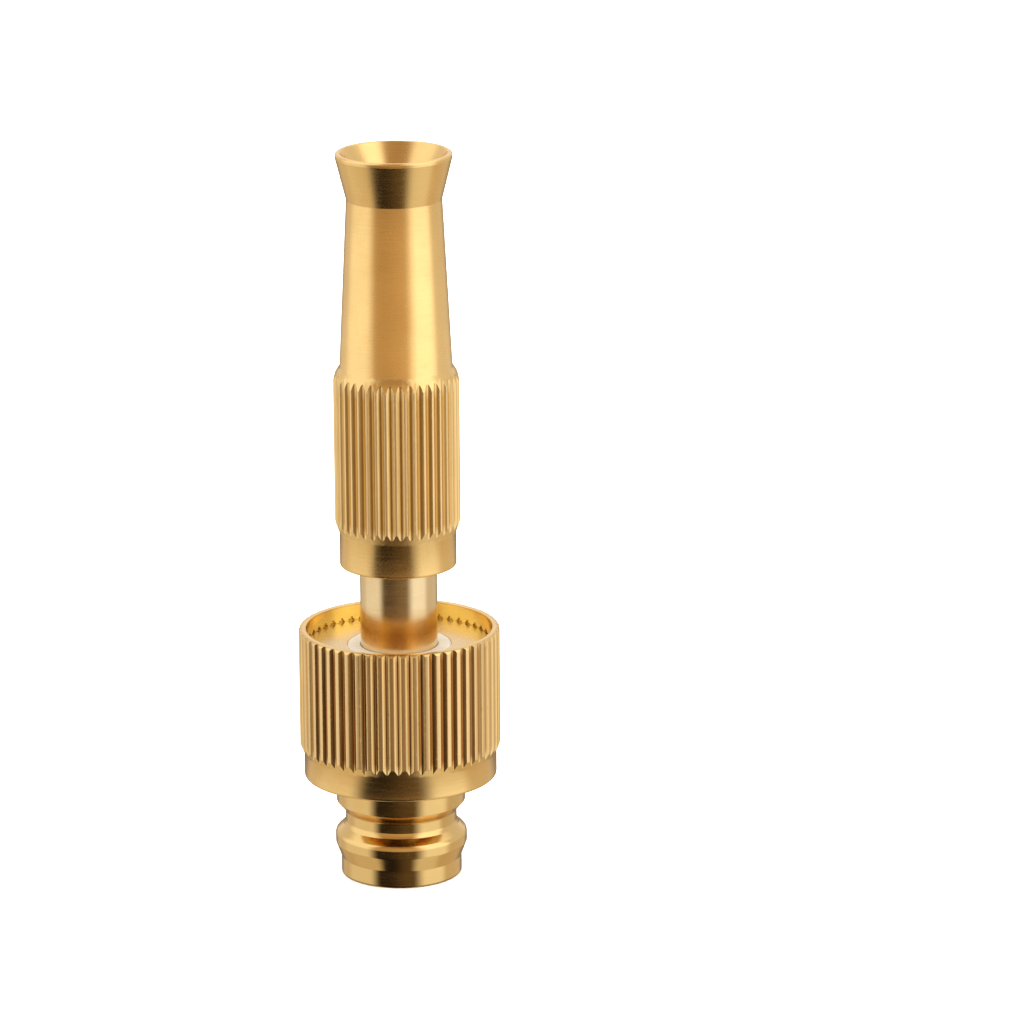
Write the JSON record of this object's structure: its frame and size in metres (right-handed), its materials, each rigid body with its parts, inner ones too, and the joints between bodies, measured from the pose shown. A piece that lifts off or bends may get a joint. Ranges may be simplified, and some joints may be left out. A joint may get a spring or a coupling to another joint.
{
  "type": "hose spray nozzle",
  "caption": "Turned brass twist spray nozzle with a fluted grip barrel on a plain stem, a fluted union nut with an open cup, and a barbed hose tail.",
  "frame": {"origin": "centre of the hose end's face, which the part stands on", "axes": "+Z along the nozzle's axis, from the hose end to the spray mouth"},
  "size_m": [0.0334, 0.0334, 0.1228],
  "materials": {
    "spray_brass": "fine turned satin brass",
    "stem_brass": "smooth turned brass, a little paler",
    "nut_brass": "fine turned satin brass, fluted",
    "disc_brass": "matt faced brass",
    "tail_brass": "bright turned brass",
    "inner_brass": "as machined brass",
    "white_nylon": "natural nylon",
    "black_rubber": "smooth black rubber",
    "spring_steel": "spring steel",
    "strainer_steel": "punched stainless sheet"
  },
  "bodies": {
    "tail": {"hose_tail": "tail_brass", "strainer": "strainer_steel", "strainer_gasket": "black_rubber"},
    "stem": {"swivel_body": "inner_brass", "swivel_o_ring_lower": "black_rubber", "swivel_o_ring_upper": "black_rubber", "stem_gasket": "black_rubber", "stem": "stem_brass", "stem_o_ring_lower": "black_rubber", "stem_o_ring_upper": "black_rubber", "pintle": "inner_brass", "pintle_seal": "black_rubber"},
    "barrel_stop": {"retaining_ring": "spring_steel"},
    "barrel": {"spray_barrel": "spray_brass"},
    "nut_washer": {"thrust_washer": "white_nylon"},
    "nut": {"union_nut": "nut_brass", "nut_end_disc": "disc_brass", "stem_bush": "white_nylon"}
  },
  "joints": [
    {"name": "hose_swivel", "type": "hinge", "parent": "tail", "child": "stem", "pos_m": [0, 0, 0.0314], "axis": [0, 0, 1], "continuous": true},
    {"name": "spray_travel", "type": "slide", "parent": "stem", "child": "barrel_stop", "axis": [0, 0, 1], "range_m": [0, 0.006]},
    {"name": "spray_twist", "type": "hinge", "parent": "barrel_stop", "child": "barrel", "pos_m": [0, 0, 0.0556], "axis": [0, 0, 1], "range_deg": [0, 1080]},
    {"name": "nut_travel", "type": "slide", "parent": "tail", "child": "nut_washer", "axis": [0, 0, 1], "range_m": [0, 0.009]},
    {"name": "nut_turn", "type": "hinge", "parent": "nut_washer", "child": "nut", "pos_m": [0, 0, 0.0354], "axis": [0, 0, 1], "range_deg": [0, 2160]}
  ],
  "couplings": [
    {"joint": "spray_twist", "follows": "spray_travel", "rad_per_m": 3141.6},
    {"joint": "nut_turn", "follows": "nut_travel", "rad_per_m": 4188.8}
  ]
}
